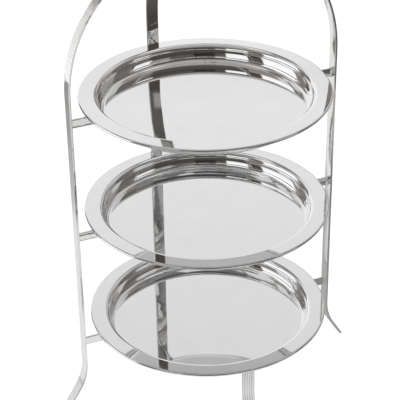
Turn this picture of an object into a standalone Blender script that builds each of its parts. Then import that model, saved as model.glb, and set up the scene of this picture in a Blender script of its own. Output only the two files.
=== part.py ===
"""Three-tier cake stand: three loose polished plates on a welded frame of reeded strip.

Metres, +Z up. The floor is z = 0 and the origin is the middle of the footprint. +X runs
towards the right leg, +Y towards the rear leg, and the open side of the stand faces -Y.
"""

import math

import bmesh
import bpy
from mathutils import Matrix, Vector

# Fits
GAP = 0.0003                    # between pieces that touch or are welded together

# Plates, all three alike. Heights on a plate are measured down from the top of its rim.
PLATE_RADIUS = 0.135
SHEET = 0.0012                  # thickness of the plate's sheet metal
EDGE_BEAD_RADIUS = 0.0018       # rolled bead around the rim
RIM_INNER_RADIUS = 0.119        # where the flat rim turns down into the wall
SHOULDER_RADIUS = 0.0035        # bend from the rim into the wall, on its upper face
COVE_RADIUS = 0.007             # bend from the wall into the flat, on its upper face
FLAT_RADIUS = 0.1075            # flat floor of the well
WELL_DEPTH = 0.0192

# Tiers
TIER_NAMES = ("lower", "middle", "upper")
LOWEST_RIM_HEIGHT = 0.0884      # top of the lower plate's rim above the floor
TIER_SPACING = 0.1368

# Reeded strip that makes the hoop, the rear leg and the front foot
STRIP_WIDTH = 0.0137
STRIP_THICKNESS = 0.0028
REED_COUNT = 5
REED_DEPTH = 0.0004
LEG_INNER_RADIUS = 0.1506       # inner face of a leg to the stand's axis
ARCH_CENTRE_ABOVE_RIM = 0.0219  # above the upper plate's rim
FLARE_START_HEIGHT = 0.0524     # where a leg begins to bend outwards into its foot
FLARE_RADIUS = 0.0634
FLARE_ANGLE = math.radians(32.0)
FRONT_FOOT_TURN = math.radians(-2.5)   # the front foot sits a little off the rear leg's line

# Support rings and the brackets that join them to the legs, both of flat bar on edge
RING_INNER_RADIUS = 0.1193
BAR_THICKNESS = 0.0026
BAR_HEIGHT = 0.010
BRACKET_DROP = 0.0024           # the brackets sit this far below the ring's top, clear of the bead
BAR_EDGE_BEVEL = 0.0004

# Facets
ROUND_STEPS = 48
ARC_STEP = math.radians(5.0)

# Derived places
LEG_MID_RADIUS = LEG_INNER_RADIUS + STRIP_THICKNESS / 2
RING_OUTER_RADIUS = RING_INNER_RADIUS + BAR_THICKNESS
RING_TOP_DROP = SHEET + GAP
RIM_HEIGHTS = tuple(LOWEST_RIM_HEIGHT + tier * TIER_SPACING for tier in range(len(TIER_NAMES)))
ARCH_CENTRE_HEIGHT = RIM_HEIGHTS[-1] + ARCH_CENTRE_ABOVE_RIM
FRONT_FOOT_MID_RADIUS = RING_OUTER_RADIUS + GAP + STRIP_THICKNESS / 2
RIGHT, REAR, LEFT, FRONT = (math.radians(a) for a in (0.0, 90.0, 180.0, -90.0))


def foot_reach():
    """How far a foot's sole stands out from the middle of its leg, to the sole's outer edge."""
    straight_height = FLARE_START_HEIGHT - FLARE_RADIUS * math.sin(FLARE_ANGLE)
    bend_out = FLARE_RADIUS * (1.0 - math.cos(FLARE_ANGLE))
    half_sole = STRIP_THICKNESS / 2 / math.cos(FLARE_ANGLE)
    return bend_out + straight_height * math.tan(FLARE_ANGLE) + half_sole


def stand_axis_y():
    """Place of the plates' axis that puts the origin in the middle of the footprint."""
    rear_reach = LEG_MID_RADIUS + foot_reach()
    front_reach = (FRONT_FOOT_MID_RADIUS + foot_reach()) * math.cos(FRONT_FOOT_TURN)
    front_reach += STRIP_WIDTH / 2 * math.sin(abs(FRONT_FOOT_TURN))
    return (front_reach - rear_reach) / 2


AXIS = Vector((0.0, stand_axis_y(), 0.0))


# Materials and objects

def metal(name, colour, roughness):
    """Polished metal material."""
    material = bpy.data.materials.new(name)
    material.use_nodes = True
    shader = material.node_tree.nodes["Principled BSDF"]
    shader.inputs["Base Color"].default_value = (*colour, 1.0)
    shader.inputs["Metallic"].default_value = 1.0
    shader.inputs["Roughness"].default_value = roughness
    return material


def add_object(name, mesh, material, location, turn=0.0):
    """Put a mesh into the scene as one named piece, shaded smooth up to 35 degrees."""
    mesh.materials.append(material)
    mesh.shade_smooth()
    mesh.set_sharp_from_angle(angle=math.radians(35.0))
    piece = bpy.data.objects.new(name, mesh)
    piece.location = location
    piece.rotation_euler.z = turn
    bpy.context.scene.collection.objects.link(piece)
    return piece


def clear_scene():
    for old in list(bpy.data.objects):
        bpy.data.objects.remove(old, do_unlink=True)


# Turned pieces: plates and rings

def arc(centre, radius, start, end, steps):
    """Points (r, z) along an arc, both ends included, angles from +r towards +z."""
    angles = (start + (end - start) * step / steps for step in range(steps + 1))
    return [(centre[0] + radius * math.cos(a), centre[1] + radius * math.sin(a)) for a in angles]


def turned_mesh(name, profile, closed):
    """Mesh with the profile (r, z) in its XZ plane, ready for the Screw modifier."""
    mesh = bpy.data.meshes.new(name)
    points = [(r, 0.0, z) for r, z in profile]
    edges = [(i, i + 1) for i in range(len(points) - 1)]
    if closed:
        edges.append((len(points) - 1, 0))
    mesh.from_pydata(points, edges, [])
    return mesh


def turn_round(piece):
    """Sweep a profile object about its own Z axis."""
    screw = piece.modifiers.new("turn", "SCREW")
    screw.steps = ROUND_STEPS
    screw.render_steps = ROUND_STEPS
    screw.use_merge_vertices = True
    screw.merge_threshold = 0.00001
    screw.use_smooth_shade = True


def wall_normal():
    """Angle of the wall's normal, pointing away from the well, so that it meets both bends."""
    run = FLAT_RADIUS - RIM_INNER_RADIUS
    drop = SHOULDER_RADIUS - (WELL_DEPTH - COVE_RADIUS)
    downwards = math.atan2(drop, run)
    lean = math.asin((SHOULDER_RADIUS + COVE_RADIUS) / math.hypot(run, drop))
    return downwards + lean + math.pi / 2


def plate_profile():
    """Outline (r, z) of half a plate, from the well's centre over the rim and back underneath."""
    shoulder = (RIM_INNER_RADIUS, -SHOULDER_RADIUS)
    cove = (FLAT_RADIUS, COVE_RADIUS - WELL_DEPTH)
    bead = (PLATE_RADIUS - EDGE_BEAD_RADIUS, -EDGE_BEAD_RADIUS)
    down, up = -math.pi / 2, math.pi / 2
    cove_end = wall_normal()
    shoulder_end = cove_end + math.pi
    bead_end = -math.pi - math.asin(1.0 - SHEET / EDGE_BEAD_RADIUS)   # meets the rim's underside
    upper = [(0.0, -WELL_DEPTH)]
    upper += arc(cove, COVE_RADIUS, down, cove_end, 3)
    upper += arc(shoulder, SHOULDER_RADIUS, shoulder_end, up, 3)
    edge = arc(bead, EDGE_BEAD_RADIUS, up, bead_end, 8)
    under = arc(shoulder, SHOULDER_RADIUS - SHEET, up, shoulder_end, 3)
    under += arc(cove, COVE_RADIUS + SHEET, cove_end, down, 3)
    return upper + edge + under + [(0.0, -WELL_DEPTH - SHEET)]


def make_plates(material):
    for tier, rim_height in zip(TIER_NAMES, RIM_HEIGHTS):
        mesh = turned_mesh(f"{tier}_plate", plate_profile(), closed=False)
        plate = add_object(f"{tier}_plate", mesh, material, AXIS + Vector((0.0, 0.0, rim_height)))
        turn_round(plate)


def ring_profile():
    """Closed outline (r, z) of a support ring, down its outer side, from the rim's top."""
    top = -RING_TOP_DROP
    bottom = top - BAR_HEIGHT
    inner, outer, cut = RING_INNER_RADIUS, RING_OUTER_RADIUS, BAR_EDGE_BEVEL
    return [
        (inner + cut, top), (outer - cut, top), (outer, top - cut), (outer, bottom + cut),
        (outer - cut, bottom), (inner + cut, bottom), (inner, bottom + cut), (inner, top - cut),
    ]


def make_rings(material):
    for tier, rim_height in zip(TIER_NAMES, RIM_HEIGHTS):
        mesh = turned_mesh(f"{tier}_ring", ring_profile(), closed=True)
        ring = add_object(f"{tier}_ring", mesh, material, AXIS + Vector((0.0, 0.0, rim_height)))
        turn_round(ring)


# Strip pieces: hoop, rear leg and front foot. A route is a list of stations (r, z, lean) along
# the strip's middle; lean is the angle of its outer face's normal above the outward direction.

def foot_route(mid_radius):
    """Stations up a foot, from the floor to where the leg becomes upright."""
    reach = foot_reach() - STRIP_THICKNESS / 2 / math.cos(FLARE_ANGLE)
    steps = math.ceil(FLARE_ANGLE / ARC_STEP)
    route = [(mid_radius + reach, 0.0, FLARE_ANGLE)]
    for step in range(steps + 1):
        lean = FLARE_ANGLE * (1.0 - step / steps)
        bend_out = FLARE_RADIUS * (1.0 - math.cos(lean))
        height = FLARE_START_HEIGHT - FLARE_RADIUS * math.sin(lean)
        route.append((mid_radius + bend_out, height, lean))
    return route


def arch_route(end_angle):
    """Stations over the arch, from the top of the right leg to end_angle."""
    steps = round(end_angle / ARC_STEP)
    angles = [end_angle * step / steps for step in range(steps + 1)]
    return [
        (LEG_MID_RADIUS * math.cos(a), ARCH_CENTRE_HEIGHT + LEG_MID_RADIUS * math.sin(a), a)
        for a in angles
    ]


def strip_section():
    """Outline (across, outwards) of the strip: a plain inner face and a reeded outer face."""
    half_width, half_thickness = STRIP_WIDTH / 2, STRIP_THICKNESS / 2
    outline = [(half_width, -half_thickness), (-half_width, -half_thickness)]
    for line in range(2 * REED_COUNT + 1):
        across = -half_width + STRIP_WIDTH * line / (2 * REED_COUNT)
        is_groove = line % 2 == 0
        outline.append((across, half_thickness - (REED_DEPTH if is_groove else 0.0)))
    return outline


def strip_mesh(name, route):
    """Sweep the strip's section along a route; ends that stand on the floor are cut level."""
    work = bmesh.new()
    rings = []
    for r, z, lean in route:
        outwards = Vector((math.cos(lean), 0.0, math.sin(lean)))
        along = Vector((-math.sin(lean), 0.0, math.cos(lean)))
        ring = []
        for across, out in strip_section():
            point = Vector((r, across, z)) + outwards * out
            if z == 0.0:
                point -= along * (point.z / along.z)
            ring.append(work.verts.new(point))
        rings.append(ring)
    for lower, upper in zip(rings, rings[1:]):
        for i in range(len(lower)):
            j = (i + 1) % len(lower)
            work.faces.new((lower[i], lower[j], upper[j], upper[i]))
    work.faces.new(rings[0])
    work.faces.new(rings[-1])
    bmesh.ops.recalc_face_normals(work, faces=work.faces)
    mesh = bpy.data.meshes.new(name)
    work.to_mesh(mesh)
    work.free()
    return mesh


def mirrored_route(route):
    """The same stations on the other side of the stand's axis, walked the other way."""
    return [(-r, z, math.pi - lean) for r, z, lean in reversed(route)]


def make_hoop(material):
    """Left foot, left leg, arch, right leg and right foot, bent from one strip."""
    right_foot = foot_route(LEG_MID_RADIUS)
    route = right_foot + arch_route(math.pi) + mirrored_route(right_foot)
    add_object("hoop", strip_mesh("hoop", route), material, AXIS)


def make_rear_leg(material):
    """Rear foot and leg, bent over at the top to meet the hoop's crown."""
    crown_gap = STRIP_WIDTH / 2 + GAP
    end_angle = math.acos(crown_gap / LEG_MID_RADIUS)
    route = foot_route(LEG_MID_RADIUS) + arch_route(end_angle)
    add_object("rear_leg", strip_mesh("rear_leg", route), material, AXIS, turn=REAR)


def make_front_foot(material):
    """Short foot welded to the outside of the lower ring."""
    top = RIM_HEIGHTS[0] - RING_TOP_DROP - BRACKET_DROP
    route = foot_route(FRONT_FOOT_MID_RADIUS) + [(FRONT_FOOT_MID_RADIUS, top, 0.0)]
    mesh = strip_mesh("front_foot", route)
    add_object("front_foot", mesh, material, AXIS, turn=FRONT + FRONT_FOOT_TURN)


# Brackets

def bracket_mesh(name):
    """Flat bar on edge along +X, from the ring's outer face to the leg's inner face."""
    start = RING_OUTER_RADIUS + GAP
    end = LEG_INNER_RADIUS - GAP
    size = Vector((end - start, BAR_THICKNESS, BAR_HEIGHT))
    centre = Vector(((start + end) / 2, 0.0, -BAR_HEIGHT / 2))
    work = bmesh.new()
    place = Matrix.Translation(centre) @ Matrix.Diagonal(size.to_4d())
    bmesh.ops.create_cube(work, size=1.0, matrix=place)
    long_edges = [e for e in work.edges if abs(e.verts[0].co.x - e.verts[1].co.x) > size.x / 2]
    bmesh.ops.bevel(work, geom=long_edges, offset=BAR_EDGE_BEVEL, segments=1, affect="EDGES")
    mesh = bpy.data.meshes.new(name)
    work.to_mesh(mesh)
    work.free()
    return mesh


def make_brackets(material):
    for tier, rim_height in zip(TIER_NAMES, RIM_HEIGHTS):
        top = rim_height - RING_TOP_DROP - BRACKET_DROP
        for side, turn in (("right", RIGHT), ("rear", REAR), ("left", LEFT)):
            name = f"{tier}_{side}_bracket"
            location = AXIS + Vector((0.0, 0.0, top))
            add_object(name, bracket_mesh(name), material, location, turn)


def main():
    clear_scene()
    plate_metal = metal("polished_plate", (0.84, 0.835, 0.83), 0.03)
    frame_metal = metal("polished_frame", (0.82, 0.81, 0.80), 0.08)
    make_plates(plate_metal)
    make_rings(frame_metal)
    make_hoop(frame_metal)
    make_rear_leg(frame_metal)
    make_front_foot(frame_metal)
    make_brackets(frame_metal)


main()
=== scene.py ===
"""Looks of the three-tier cake stand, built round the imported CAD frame.

Metres, +Z up, in the CAD's own frame: +X towards the right leg, +Y towards the rear leg.
"""
import math

import bpy
from mathutils import Matrix, Vector


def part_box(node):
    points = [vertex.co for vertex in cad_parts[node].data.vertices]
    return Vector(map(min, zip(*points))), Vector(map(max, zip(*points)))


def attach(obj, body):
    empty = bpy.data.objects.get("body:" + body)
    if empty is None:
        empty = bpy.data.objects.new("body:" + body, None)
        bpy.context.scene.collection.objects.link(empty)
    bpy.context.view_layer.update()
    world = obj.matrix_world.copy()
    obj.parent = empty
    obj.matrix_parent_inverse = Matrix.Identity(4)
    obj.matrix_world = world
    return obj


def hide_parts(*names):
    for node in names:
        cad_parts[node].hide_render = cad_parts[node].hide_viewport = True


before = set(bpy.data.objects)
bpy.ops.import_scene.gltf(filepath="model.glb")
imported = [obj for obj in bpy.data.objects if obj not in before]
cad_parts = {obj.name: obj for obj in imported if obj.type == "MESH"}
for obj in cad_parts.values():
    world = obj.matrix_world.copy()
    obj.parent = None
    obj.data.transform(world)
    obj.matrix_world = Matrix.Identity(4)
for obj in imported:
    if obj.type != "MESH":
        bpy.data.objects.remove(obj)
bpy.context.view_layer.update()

TIERS = ("lower", "middle", "upper")

# Turn of each bracket about the stand's axis
ARMS = {"right": 0.0, "rear": math.pi / 2, "left": math.pi}

# Plates. Heights on a plate are measured from the top of its rim. The rim rounds over a shoulder
# into a slightly hollow wall, and the wall ends in a cove. A tilt is how far the wall looks up
# from level; UNDERSIDE_TILT is where the wall ends on the outside. CREASE_WIDTH is the sharp
# corner where the edge bead meets the rim's underside.
SHEET = 0.0012
EDGE_BEAD_RADIUS = 0.0018
RIM_INNER_RADIUS = 0.1193
SHOULDER_RADIUS = 0.006
WALL_RADIUS = 0.036
WALL_TOP_TILT = math.radians(-4.0)
WALL_BOTTOM_TILT = math.radians(8.0)
UNDERSIDE_TILT = math.radians(4.0)
WELL_DEPTH = 0.0192
CREASE_WIDTH = 0.0001
COVE_STEPS = 18
WALL_STEPS = 10
SHOULDER_STEPS = 22
BEAD_STEPS = 24
OUTSIDE_SHOULDER_STEPS = 14
OUTSIDE_WALL_STEPS = 8
ROUND_STEPS = 256

# Reeded strip
STRIP_WIDTH = 0.0137
STRIP_THICKNESS = 0.0028
REED_COUNT = 5
REED_DEPTH = 0.00055
REED_FULLNESS = 0.7
REED_STEPS = 6
STRIP_EDGE_RADIUS = 0.0005
FLARE_START_HEIGHT = 0.0524
FLARE_RADIUS = 0.0634
FLARE_ANGLE = math.radians(32.0)
FRONT_FOOT_TURN = math.radians(-2.5)
STATION_SPACING = 0.002

# Left between touching pieces
GAP = 0.0003

# Flat bar of the rings and brackets
BAR_THICKNESS = 0.0026
BAR_HEIGHT = 0.010
BAR_EDGE_RADIUS = 0.0005
CORNER_STEPS = 4
SHARP_ANGLE = math.radians(40.0)

# Weld at each end of a bracket, which swells the bar's sides more than its edges
WELD_LENGTH = 0.0018
WELD_SWELL = 0.0010
WELD_FADE = 2.5
WELD_HEIGHT_SHARE = 0.26
WELD_STEPS = 6

# Places read from the CAD frame
PLATE_LOW, PLATE_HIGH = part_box("lower_plate")
RING_LOW, RING_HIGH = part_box("lower_ring")
HOOP_LOW, HOOP_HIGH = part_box("hoop")
AXIS = Vector((0.0, (PLATE_LOW.y + PLATE_HIGH.y) / 2, 0.0))
PLATE_RADIUS = (PLATE_HIGH.x - PLATE_LOW.x) / 2
RIM_HEIGHTS = {tier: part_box(f"{tier}_plate")[1].z for tier in TIERS}
RING_OUTER_RADIUS = (RING_HIGH.x - RING_LOW.x) / 2
LEG_INNER_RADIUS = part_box("upper_right_bracket")[1].x + GAP
LEG_MID_RADIUS = LEG_INNER_RADIUS + STRIP_THICKNESS / 2
ARCH_CENTRE_HEIGHT = HOOP_HIGH.z - LEG_MID_RADIUS - STRIP_THICKNESS / 2
FRONT_FOOT_MID_RADIUS = RING_OUTER_RADIUS + GAP + STRIP_THICKNESS / 2

# Camera: the side it looks from, counted from the front and from level, and its lens in mm
CAMERA_AZIMUTH = math.radians(-22.67)
CAMERA_ELEVATION = math.radians(30.43)
CAMERA_ROLL = math.radians(-0.815)
CAMERA_DISTANCE = 1.5784
CAMERA_AIM = Vector((-0.00668, -0.01129, 0.22671))
CAMERA_LENS = 128.52
SENSOR_WIDTH = 36.0

# Floor: its edges in metres from the stand as the camera sees it, then the brightness it takes
# from the studio and the brightness it adds itself, so that it shows white
FLOOR_HALF_WIDTH = 1.4
FLOOR_NEAR = -1.4
FLOOR_FAR = 1.6
FLOOR_CLOTH = 0.7
FLOOR_GLOW = 0.80

# Reflections followed from mirror to mirror
MIRROR_BOUNCES = 12


# Meshes

def new_piece(name, vertices, faces, material, normals=None, location=AXIS, turn=0.0):
    """Put a mesh into the scene as one smooth-shaded piece."""
    mesh = bpy.data.meshes.new(name)
    mesh.from_pydata(vertices, [], faces)
    mesh.update()
    mesh.materials.append(material)
    mesh.shade_smooth()
    if normals is None:
        mesh.set_sharp_from_angle(angle=SHARP_ANGLE)
    else:
        mesh.normals_split_custom_set_from_vertices(normals)
    piece = bpy.data.objects.new(name, mesh)
    piece.location = location
    piece.rotation_euler.z = turn
    bpy.context.scene.collection.objects.link(piece)
    return piece


def stand_in(piece, body, node):
    """Let a piece ride on its body in the place of its CAD node."""
    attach(piece, body)
    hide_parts(node)


def bend(centre, radius, start, end, steps, inside=False):
    """Points (r, z, normal) along an arc, angles from +r towards +z; inside turns the normals in."""
    points = []
    for step in range(steps + 1):
        angle = start + (end - start) * step / steps
        r = centre[0] + radius * math.cos(angle)
        z = centre[1] + radius * math.sin(angle)
        points.append((r, z, angle + math.pi if inside else angle))
    return points


def turned(name, outline, material, height, closed=False):
    """Turn an outline of (r, z, normal) about the stand's axis. An open one starts and ends on it."""
    vertices, normals, faces, rings = [], [], [], []
    for r, z, normal in outline:
        count = 1 if r == 0.0 else ROUND_STEPS
        rings.append([len(vertices) + i % count for i in range(ROUND_STEPS)])
        for step in range(count):
            around = 2 * math.pi * step / ROUND_STEPS
            across = Vector((math.cos(around), math.sin(around), 0.0))
            vertices.append(across * r + Vector((0.0, 0.0, z)))
            normals.append(across * math.cos(normal) + Vector((0.0, 0.0, math.sin(normal))))
    pairs = list(zip(rings, rings[1:]))
    if closed:
        pairs.append((rings[-1], rings[0]))
    for one, other in pairs:
        for i in range(ROUND_STEPS):
            j = (i + 1) % ROUND_STEPS
            face = [one[i], other[i], other[j], one[j]]
            faces.append([v for k, v in enumerate(face) if v not in face[:k]])
    location = AXIS + Vector((0.0, 0.0, height))
    return new_piece(name, vertices, faces, material, normals, location)


def face_at(tilt):
    """Way a plate's wall looks at a tilt above level, which is just below 0 under the rim."""
    return Vector((-math.cos(tilt), math.sin(tilt)))


def cove_under(wall, wall_radius, tilt, depth):
    """Centre and radius of the cove that joins the hollow wall at a tilt to a floor at a depth."""
    face = face_at(tilt)
    wall_foot = wall - face * wall_radius
    radius = (wall_foot.y + depth) / (1.0 - face.y)
    return wall_foot + face * radius, radius


def plate_outline():
    """Outline of half a plate, from the well's floor up and out over the rim, then back below."""
    shoulder = Vector((RIM_INNER_RADIUS, -SHOULDER_RADIUS))
    wall = shoulder + face_at(WALL_TOP_TILT) * (SHOULDER_RADIUS + WALL_RADIUS)
    cove, cove_radius = cove_under(wall, WALL_RADIUS, WALL_BOTTOM_TILT, WELL_DEPTH)
    bottom = WELL_DEPTH + SHEET
    under, under_radius = cove_under(wall, WALL_RADIUS + SHEET, UNDERSIDE_TILT, bottom)
    bead = (PLATE_RADIUS - EDGE_BEAD_RADIUS, -EDGE_BEAD_RADIUS)
    bead_end = -math.pi - math.asin(1.0 - SHEET / EDGE_BEAD_RADIUS)
    down, up = -math.pi / 2, math.pi / 2
    top, foot, under_foot = -WALL_TOP_TILT, -WALL_BOTTOM_TILT, -UNDERSIDE_TILT
    outline = [(0.0, -WELL_DEPTH, up), (cove.x / 2, -WELL_DEPTH, up)]
    outline += bend(cove, cove_radius, down, foot, COVE_STEPS, inside=True)
    outline += bend(wall, WALL_RADIUS, foot, top, WALL_STEPS, inside=True)[1:]
    outline += bend(shoulder, SHOULDER_RADIUS, math.pi + top, up, SHOULDER_STEPS)[1:]
    outline += bend(bead, EDGE_BEAD_RADIUS, up, bead_end, BEAD_STEPS)
    outline += [(outline[-1][0] - CREASE_WIDTH, -SHEET, down)]
    inner = SHOULDER_RADIUS - SHEET
    outline += bend(shoulder, inner, up, math.pi + top, OUTSIDE_SHOULDER_STEPS, inside=True)
    outline += bend(wall, WALL_RADIUS + SHEET, top, under_foot, OUTSIDE_WALL_STEPS)[1:]
    outline += bend(under, under_radius, under_foot, down, COVE_STEPS)[1:]
    outline += [(under.x / 2, -bottom, down), (0.0, -bottom, down)]
    return outline


def bar_outline(inner, outer, top, bottom, radius):
    """Closed outline of a bar with rounded edges, clockwise from its outer top edge."""
    corners = (
        (outer - radius, top - radius, math.pi / 2),
        (outer - radius, bottom + radius, 0.0),
        (inner + radius, bottom + radius, -math.pi / 2),
        (inner + radius, top - radius, -math.pi),
    )
    outline = []
    for r, z, start in corners:
        outline += bend((r, z), radius, start, start - math.pi / 2, CORNER_STEPS)
    return outline


def make_plates(material):
    for tier, height in RIM_HEIGHTS.items():
        plate = turned(f"{tier}_plate_spun", plate_outline(), material, height)
        stand_in(plate, f"{tier}_plate", f"{tier}_plate")


def make_rings(material):
    top = RING_HIGH.z - RIM_HEIGHTS["lower"]
    inner = RING_OUTER_RADIUS - BAR_THICKNESS
    outline = bar_outline(inner, RING_OUTER_RADIUS, top, top - BAR_HEIGHT, BAR_EDGE_RADIUS)
    for tier, height in RIM_HEIGHTS.items():
        ring = turned(f"{tier}_ring_bar", outline, material, height, closed=True)
        stand_in(ring, "stand", f"{tier}_ring")


# Strip pieces. A route is a list of stations (r, z, lean) along the strip's middle; lean is the
# angle of its outer face's normal above the outward direction.

def foot_route(mid_radius, top):
    """Stations up a foot and its leg, from the floor to a height where the leg is upright."""
    straight_height = FLARE_START_HEIGHT - FLARE_RADIUS * math.sin(FLARE_ANGLE)
    bend_out = FLARE_RADIUS * (1.0 - math.cos(FLARE_ANGLE))
    route = []
    steps = math.ceil(straight_height / math.cos(FLARE_ANGLE) / STATION_SPACING)
    for step in range(steps):
        z = straight_height * step / steps
        r = mid_radius + bend_out + (straight_height - z) * math.tan(FLARE_ANGLE)
        route.append((r, z, FLARE_ANGLE))
    steps = math.ceil(FLARE_RADIUS * FLARE_ANGLE / STATION_SPACING)
    for step in range(steps):
        lean = FLARE_ANGLE * (1.0 - step / steps)
        r = mid_radius + FLARE_RADIUS * (1.0 - math.cos(lean))
        route.append((r, FLARE_START_HEIGHT - FLARE_RADIUS * math.sin(lean), lean))
    steps = math.ceil((top - FLARE_START_HEIGHT) / STATION_SPACING)
    for step in range(steps + 1):
        z = FLARE_START_HEIGHT + (top - FLARE_START_HEIGHT) * step / steps
        route.append((mid_radius, z, 0.0))
    return route


def arch_route(end_angle):
    """Stations over the arch, from just past the top of the right leg to end_angle."""
    steps = math.ceil(end_angle * LEG_MID_RADIUS / STATION_SPACING)
    angles = [end_angle * step / steps for step in range(1, steps + 1)]
    return [
        (LEG_MID_RADIUS * math.cos(a), ARCH_CENTRE_HEIGHT + LEG_MID_RADIUS * math.sin(a), a)
        for a in angles
    ]


def strip_section():
    """Outline (across, outwards) of the strip: a plain inner face and rounded reeds outside."""
    half_width, half_thickness = STRIP_WIDTH / 2, STRIP_THICKNESS / 2
    radius = STRIP_EDGE_RADIUS
    outline = []
    for side, start in ((1.0, 0.0), (-1.0, -math.pi / 2)):
        centre = (side * (half_width - radius), radius - half_thickness)
        corner = bend(centre, radius, start, start - math.pi / 2, CORNER_STEPS)
        outline += [(x, y) for x, y, _ in corner]
    reed_width = STRIP_WIDTH / REED_COUNT
    for reed in range(REED_COUNT):
        for step in range(REED_STEPS + 1):
            if step == REED_STEPS and reed < REED_COUNT - 1:
                continue
            share = step / REED_STEPS
            across = -half_width + reed_width * (reed + share)
            crest = math.sin(math.pi * share) ** REED_FULLNESS
            outline.append((across, half_thickness - REED_DEPTH * (1.0 - crest)))
    return outline


def strip(name, route, material, turn=0.0):
    """Sweep the strip's section along a route; ends that stand on the floor are cut level."""
    section = strip_section()
    count = len(section)
    vertices, faces = [], []
    for r, z, lean in route:
        outwards = Vector((math.cos(lean), 0.0, math.sin(lean)))
        along = Vector((-math.sin(lean), 0.0, math.cos(lean)))
        for across, out in section:
            point = Vector((r, across, z)) + outwards * out
            if z == 0.0:
                point -= along * (point.z / along.z)
            vertices.append(point)
    for start in range(0, len(vertices) - count, count):
        for i in range(count):
            j = (i + 1) % count
            faces.append((start + i, start + j, start + count + j, start + count + i))
    faces.append(list(range(count - 1, -1, -1)))
    faces.append(list(range(len(vertices) - count, len(vertices))))
    return new_piece(name, vertices, faces, material, turn=turn)


def make_hoop(material):
    """Left foot, left leg, arch, right leg and right foot, bent from one strip."""
    right = foot_route(LEG_MID_RADIUS, ARCH_CENTRE_HEIGHT)
    left = [(-r, z, math.pi - lean) for r, z, lean in reversed(right)]
    route = right + arch_route(math.pi)[:-1] + left
    stand_in(strip("hoop_strip", route, material), "stand", "hoop")


def make_rear_leg(material):
    """Rear foot and leg, bent over at the top to meet the hoop's crown."""
    end_angle = math.acos((STRIP_WIDTH / 2 + GAP) / LEG_MID_RADIUS)
    route = foot_route(LEG_MID_RADIUS, ARCH_CENTRE_HEIGHT) + arch_route(end_angle)
    piece = strip("rear_leg_strip", route, material, turn=ARMS["rear"])
    stand_in(piece, "stand", "rear_leg")


def make_front_foot(material):
    """Short foot welded to the outside of the lower ring."""
    route = foot_route(FRONT_FOOT_MID_RADIUS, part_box("front_foot")[1].z)
    piece = strip("front_foot_strip", route, material, turn=FRONT_FOOT_TURN - math.pi / 2)
    stand_in(piece, "stand", "front_foot")


# Brackets

def bracket_stations():
    """Places (x, swell) along a bracket, close together in the weld at either end."""
    weld = []
    for step in range(WELD_STEPS + 1):
        share = step / WELD_STEPS
        weld.append((WELD_LENGTH * share, WELD_SWELL * (1.0 - share) ** WELD_FADE))
    at_ring = [(RING_OUTER_RADIUS + away, swell) for away, swell in weld]
    at_leg = [(LEG_INNER_RADIUS - away, swell) for away, swell in reversed(weld)]
    return at_ring + at_leg


def bracket(name, tier_top, turn, material):
    """Flat bar on edge from the ring to a leg, its ends swelling into small welds."""
    half = BAR_THICKNESS / 2
    section = bar_outline(-half, half, 0.0, -BAR_HEIGHT, BAR_EDGE_RADIUS)
    middle = -BAR_HEIGHT / 2
    vertices, faces = [], []
    for x, swell in bracket_stations():
        for y, z, _ in section:
            sideways = Vector((0.0, y, (z - middle) * WELD_HEIGHT_SHARE)).normalized()
            vertices.append(Vector((x, y, z)) + sideways * swell)
    count = len(section)
    for first in range(0, len(vertices) - count, count):
        for i in range(count):
            j = (i + 1) % count
            faces.append((first + i, first + count + i, first + count + j, first + j))
    faces.append(list(range(count)))
    faces.append(list(range(len(vertices) - 1, len(vertices) - count - 1, -1)))
    location = AXIS + Vector((0.0, 0.0, tier_top))
    return new_piece(name, vertices, faces, material, location=location, turn=turn)


def make_brackets(material):
    for tier in TIERS:
        for side, turn in ARMS.items():
            node = f"{tier}_{side}_bracket"
            piece = bracket(f"{node}_bar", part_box(node)[1].z, turn, material)
            stand_in(piece, "stand", node)


# Nodes

def link_node(tree, kind, inputs, **settings):
    """Add a node, set or link its inputs by index or name, and return its first output."""
    node = tree.nodes.new(kind)
    for name, value in settings.items():
        setattr(node, name, value)
    for key, value in inputs.items():
        socket = node.inputs[key]
        if isinstance(value, bpy.types.NodeSocket):
            tree.links.new(value, socket)
        else:
            socket.default_value = value
    return node.outputs[0] if node.outputs else None


def math_node(tree, operation, one, other=0.0):
    return link_node(tree, "ShaderNodeMath", {0: one, 1: other}, operation=operation)


# Materials. Noise is about 0.5 on average and seldom leaves NOISE_LOW to NOISE_HIGH; the product
# of two noises seldom leaves PRODUCT_LOW to PRODUCT_HIGH.

NOISE_LOW, NOISE_HIGH = 0.3, 0.7
PRODUCT_LOW, PRODUCT_HIGH = 0.12, 0.40

# Colours of the darker and lighter patches, roughness from and to, and bump heights in metres
PLATE_FINISH = {
    "dark": (0.872, 0.870, 0.868),
    "light": (0.898, 0.898, 0.898),
    "smooth": 0.018,
    "rough": 0.048,
    "wave height": 0.00016,
    "mark height": 0.0000004,
}
FRAME_FINISH = {
    "dark": (0.835, 0.825, 0.812),
    "light": (0.880, 0.876, 0.870),
    "smooth": 0.035,
    "rough": 0.11,
    "wave height": 0.00045,
    "mark height": 0.0000015,
}
POLISHING_MARKS = 900.0
STREAKS = 1400.0
STREAK_STRETCH = (1.0, 1.0, 0.12)


def noise_of(tree, place, scale, detail, roughness=0.5):
    inputs = {"Vector": place, "Scale": scale, "Detail": detail, "Roughness": roughness}
    return link_node(tree, "ShaderNodeTexNoise", inputs)


def metal_tree(name):
    """A metal material, its node tree and the piece's own coordinates."""
    material = bpy.data.materials.new(name)
    material.use_nodes = True
    tree = material.node_tree
    tree.nodes["Principled BSDF"].inputs["Metallic"].default_value = 1.0
    coordinates = tree.nodes.new("ShaderNodeTexCoord")
    return material, tree, coordinates.outputs["Object"]


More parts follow.
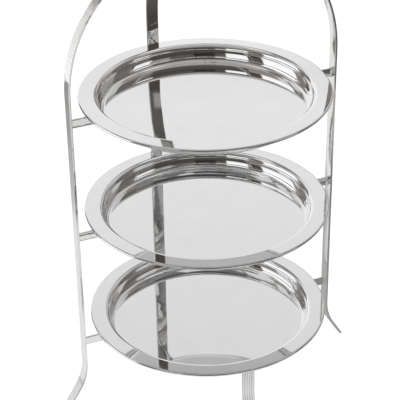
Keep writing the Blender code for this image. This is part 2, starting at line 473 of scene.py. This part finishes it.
def tone_between(tree, amount, dark, light):
    """A colour between two, by a noise."""
    span = {0: amount, 1: NOISE_LOW, 2: NOISE_HIGH, 3: 0.0, 4: 1.0}
    share = link_node(tree, "ShaderNodeMapRange", span)
    node = tree.nodes.new("ShaderNodeMix")
    node.data_type = "RGBA"
    tree.links.new(share, node.inputs[0])
    node.inputs[6].default_value = (*dark, 1.0)
    node.inputs[7].default_value = (*light, 1.0)
    return node.outputs[2]


def bump(tree, height, distance, below=None):
    inputs = {"Height": height, "Strength": 1.0, "Distance": distance}
    if below is not None:
        inputs["Normal"] = below
    return link_node(tree, "ShaderNodeBump", inputs)


def finish_metal(tree, marks, patches, waves, finish):
    """Tone from the patches, roughness from marks and patches, relief from waves and marks."""
    shader = tree.nodes["Principled BSDF"]
    tone = tone_between(tree, patches, finish["dark"], finish["light"])
    tree.links.new(tone, shader.inputs["Base Color"])
    mixed = math_node(tree, "MULTIPLY", marks, patches)
    span = {0: mixed, 1: PRODUCT_LOW, 2: PRODUCT_HIGH, 3: finish["smooth"], 4: finish["rough"]}
    tree.links.new(link_node(tree, "ShaderNodeMapRange", span), shader.inputs["Roughness"])
    wavy = bump(tree, waves, finish["wave height"])
    tree.links.new(bump(tree, marks, finish["mark height"], wavy), shader.inputs["Normal"])


def plate_metal():
    """Bright spun sheet: a faint waviness, concentric polishing marks and hazy patches."""
    material, tree, place = metal_tree("plate_mirror")
    split = tree.nodes.new("ShaderNodeSeparateXYZ")
    tree.links.new(place, split.inputs[0])
    squares = [math_node(tree, "MULTIPLY", split.outputs[k], split.outputs[k]) for k in ("X", "Y")]
    radius = math_node(tree, "SQRT", math_node(tree, "ADD", *squares))
    ring_place = link_node(tree, "ShaderNodeCombineXYZ", {"X": radius})
    marks = noise_of(tree, ring_place, POLISHING_MARKS, 3.0)
    haze = noise_of(tree, place, 38.0, 4.0, 0.6)
    waves = noise_of(tree, place, 15.0, 1.0)
    finish_metal(tree, marks, haze, waves, PLATE_FINISH)
    return material


def frame_metal():
    """Polished strip and bar: gently uneven from bending and buffing, with fine streaks."""
    material, tree, place = metal_tree("frame_mirror")
    stretch = link_node(tree, "ShaderNodeMapping", {"Vector": place, "Scale": STREAK_STRETCH})
    streaks = noise_of(tree, stretch, STREAKS, 3.0)
    stain = noise_of(tree, place, 60.0, 4.0, 0.6)
    waves = noise_of(tree, place, 42.0, 2.0)
    finish_metal(tree, streaks, stain, waves, FRAME_FINISH)
    return material


# Camera

def make_camera():
    camera = bpy.data.objects.new("camera", bpy.data.cameras.new("camera"))
    camera.data.lens = CAMERA_LENS
    camera.data.sensor_width = SENSOR_WIDTH
    away = Vector((
        math.sin(CAMERA_AZIMUTH) * math.cos(CAMERA_ELEVATION),
        -math.cos(CAMERA_AZIMUTH) * math.cos(CAMERA_ELEVATION),
        math.sin(CAMERA_ELEVATION),
    ))
    camera.rotation_mode = "QUATERNION"
    roll = Matrix.Rotation(CAMERA_ROLL, 3, "Z")
    turn = (-away).to_track_quat("-Z", "Y").to_matrix() @ roll
    camera.rotation_quaternion = turn.to_quaternion()
    camera.location = CAMERA_AIM + away * CAMERA_DISTANCE
    bpy.context.scene.collection.objects.link(camera)
    bpy.context.scene.camera = camera


# Studio

def window(tree, value, centre, half, soft):
    """1 where value is within half of centre and 0 outside, with an edge soft wide."""
    offset = math_node(tree, "ABSOLUTE", math_node(tree, "SUBTRACT", value, centre))
    inputs = {0: offset, 1: half - soft / 2, 2: half + soft / 2, 3: 1.0, 4: 0.0}
    return link_node(tree, "ShaderNodeMapRange", inputs, interpolation_type="SMOOTHSTEP")


def paint_card(tree, direction, elevation, below, card):
    """Paint one card over what is below it, shaded from its lower to its upper edge."""
    _, left, right, low, high, soft, low_level, high_level = card
    turn = {"Vector": direction, "Angle": math.radians((left + right) / 2)}
    turned_to = link_node(tree, "ShaderNodeVectorRotate", turn, rotation_type="Z_AXIS")
    split = tree.nodes.new("ShaderNodeSeparateXYZ")
    tree.links.new(turned_to, split.inputs[0])
    azimuth = math_node(tree, "ARCTAN2", split.outputs["X"], split.outputs["Y"])
    low, high, soft = math.radians(low), math.radians(high), math.radians(soft)
    across = window(tree, azimuth, 0.0, math.radians((right - left) / 2), soft)
    upright = window(tree, elevation, (low + high) / 2, (high - low) / 2, soft)
    shade = {0: elevation, 1: low, 2: high, 3: low_level, 4: high_level}
    level = link_node(tree, "ShaderNodeMapRange", shade)
    mask = math_node(tree, "MULTIPLY", across, upright)
    return link_node(tree, "ShaderNodeMix", {0: mask, 2: below, 3: level}, data_type="FLOAT")


# Light and dark areas that stand in for the photographer's room, each painted over those before
# it. They are placed and rounded after brightnesses worked out from the reflections in the
# photograph's plates. Name, azimuth from and to, elevation from and to, soft edge, brightness
# at the lower and at the upper edge. Degrees; azimuth 0 is straight ahead of the camera and 90 is
# to its right.
CARDS = (
    ("room", -180, 180, 22, 64, 6, 0.15, 0.44),
    ("ceiling", -180, 180, 62, 130, 8, 0.44, 0.44),
    ("dark back", 116, 244, 20, 46, 6, 0.06, 0.13),
    ("backdrop", -43, 18, 24, 41, 6, 0.90, 0.72),
    ("backdrop foot", -38, 6, -10, 25, 4, 0.88, 1.00),
    ("backdrop shade", -46, 14, 43, 55, 4, 0.24, 0.24),
    ("overhead strip", -60, 60, 57, 68, 4, 0.95, 0.95),
    ("right wall", 16, 66, 26, 56, 6, 0.66, 0.50),
    ("right corner", 9, 66, -20, 26, 4, 0.26, 0.38),
    ("right post", 24, 34, 8, 30, 4, 0.58, 0.70),
    ("right flag", 64, 96, 12, 32, 5, 0.22, 0.13),
    ("right window", 95, 121, 9, 21, 3, 1.05, 1.05),
    ("right chair", 119, 142, 6, 18, 4, 0.36, 0.34),
    ("far lamp", -157, -132, 8, 24, 3, 1.15, 1.15),
    ("low lamp", -169, -152, 3, 10, 3, 0.75, 0.75),
    ("dark door", 168, 191, 12, 25, 4, 0.02, 0.05),
    ("left softbox", -114, -64, -20, 29, 3, 1.45, 1.15),
    ("above softbox", -128, -84, 29, 44, 4, 0.34, 0.22),
    ("upper left", -86, -48, 28, 43, 4, 0.70, 0.86),
    ("left gap", -62, -43, 8, 26, 3, 0.20, 0.28),
)
ROOM = 0.12

# Green and blue of the deepest shade as a share of its red, and the brightness that is white again
SHADE_TINT = {"Green": 0.91, "Blue": 0.85}
NEUTRAL_LEVEL = 0.6

# Light and dark areas painted on the table top as the metal mirrors it, each painted over those
# before
# it and found in the same way: painted shadows of the stand and painted pools of light. Name, across
# from and to, away from and to, soft edge, brightness. Metres, as the camera sees them.
PAINTED_FLOOR_PATCHES = (
    ("left", -0.56, -0.14, -0.17, 0.75, 0.08, 0.88),
    ("behind", -0.14, 0.45, 0.28, 1.60, 0.10, 0.56),
    ("right", 0.17, 0.60, -0.18, 0.25, 0.12, 0.27),
    ("front left", -0.56, -0.10, -0.55, -0.20, 0.08, 0.20),
    ("front right", 0.12, 0.46, -0.56, -0.16, 0.06, 0.19),
    ("front", -0.26, 0.17, -0.58, -0.41, 0.04, 0.08),
    ("near foot", 0.05, 0.20, -0.38, -0.17, 0.04, 0.85),
    ("by the stand", -0.10, 0.05, -0.21, -0.09, 0.04, 0.85),
    ("front strip", 0.16, 0.36, -0.62, -0.46, 0.05, 0.75),
    ("near right", 0.30, 0.62, -1.00, -0.54, 0.08, 0.75),
    ("far left", -1.40, -0.60, 0.20, 1.60, 0.06, 0.12),
    ("far right", 0.64, 1.60, -1.60, -0.40, 0.08, 0.10),
)
TABLE = 0.46


def warm_shade(tree, level):
    """Colour of a brightness: white in the light, turning a little brown in the shade."""
    channels = {"Red": level}
    for channel, shade in SHADE_TINT.items():
        span = {0: level, 2: NEUTRAL_LEVEL, 3: shade, 4: 1.0}
        tint = link_node(tree, "ShaderNodeMapRange", span)
        channels[channel] = math_node(tree, "MULTIPLY", level, tint)
    return link_node(tree, "ShaderNodeCombineColor", channels)


def make_world():
    world = bpy.data.worlds.new("studio")
    bpy.context.scene.world = world
    world.use_nodes = True
    tree = world.node_tree
    tree.nodes.clear()
    generated = link_node(tree, "ShaderNodeTexCoord", {})
    turn = {"Vector": generated, "Angle": -CAMERA_AZIMUTH}
    direction = link_node(tree, "ShaderNodeVectorRotate", turn, rotation_type="Z_AXIS")
    split = tree.nodes.new("ShaderNodeSeparateXYZ")
    tree.links.new(direction, split.inputs[0])
    elevation = math_node(tree, "ARCSINE", split.outputs["Z"])
    level = ROOM
    for card in CARDS:
        level = paint_card(tree, direction, elevation, level, card)
    room = link_node(tree, "ShaderNodeBackground", {"Color": warm_shade(tree, level)})
    plain = link_node(tree, "ShaderNodeBackground", {"Color": (1.0, 1.0, 1.0, 1.0)})
    camera_ray = link_node(tree, "ShaderNodeLightPath", {})
    shown = link_node(tree, "ShaderNodeMixShader", {0: camera_ray, 1: room, 2: plain})
    link_node(tree, "ShaderNodeOutputWorld", {"Surface": shown})


def painted_floor_light(tree):
    """Painted light and shade of the table top as the polished metal mirrors it: painted shadows of
    the stand and painted pools of light.
    """
    place = tree.nodes.new("ShaderNodeTexCoord")
    split = tree.nodes.new("ShaderNodeSeparateXYZ")
    tree.links.new(place.outputs["Object"], split.inputs[0])
    level = TABLE
    for _, left, right, near, far, soft, brightness in PAINTED_FLOOR_PATCHES:
        across = window(tree, split.outputs["X"], (left + right) / 2, (right - left) / 2, soft)
        away = window(tree, split.outputs["Y"], (near + far) / 2, (far - near) / 2, soft)
        mask = math_node(tree, "MULTIPLY", across, away)
        mixed = {0: mask, 2: level, 3: brightness}
        level = link_node(tree, "ShaderNodeMix", mixed, data_type="FLOAT")
    return level


def make_floor():
    """Table top: plain white to the camera, with the studio's light and shade in reflections."""
    side = FLOOR_HALF_WIDTH
    corners = ((-side, FLOOR_NEAR), (side, FLOOR_NEAR), (side, FLOOR_FAR), (-side, FLOOR_FAR))
    mesh = bpy.data.meshes.new("floor")
    mesh.from_pydata([(x, y, 0.0) for x, y in corners], [], [(0, 1, 2, 3)])
    floor = bpy.data.objects.new("floor", mesh)
    floor.rotation_euler.z = CAMERA_AZIMUTH
    bpy.context.scene.collection.objects.link(floor)
    # White to the camera, with painted light and shade for reflections
    material = bpy.data.materials.new("floor_white_painted_shade")
    material.use_nodes = True
    tree = material.node_tree
    tree.nodes.clear()
    grey = (FLOOR_CLOTH, FLOOR_CLOTH, FLOOR_CLOTH, 1.0)
    cloth = link_node(tree, "ShaderNodeBsdfDiffuse", {"Color": grey})
    glow = link_node(tree, "ShaderNodeEmission", {"Strength": FLOOR_GLOW})
    white = link_node(tree, "ShaderNodeAddShader", {0: cloth, 1: glow})
    # Painted shadows of the stand and painted pools of light, emitted only for the rays that the
    # metal reflects
    painted_floor_shading = link_node(tree, "ShaderNodeEmission", {"Strength": painted_floor_light(tree)})
    camera_ray = link_node(tree, "ShaderNodeLightPath", {})
    shown = link_node(tree, "ShaderNodeMixShader", {0: camera_ray, 1: painted_floor_shading, 2: white})
    link_node(tree, "ShaderNodeOutputMaterial", {"Surface": shown})
    mesh.materials.append(material)


make_camera()
make_plates(plate_metal())
frame_finish = frame_metal()
make_rings(frame_finish)
make_hoop(frame_finish)
make_rear_leg(frame_finish)
make_front_foot(frame_finish)
make_brackets(frame_finish)
make_floor()
make_world()
bpy.context.scene.cycles.glossy_bounces = MIRROR_BOUNCES
bpy.context.scene.view_settings.view_transform = "Standard"
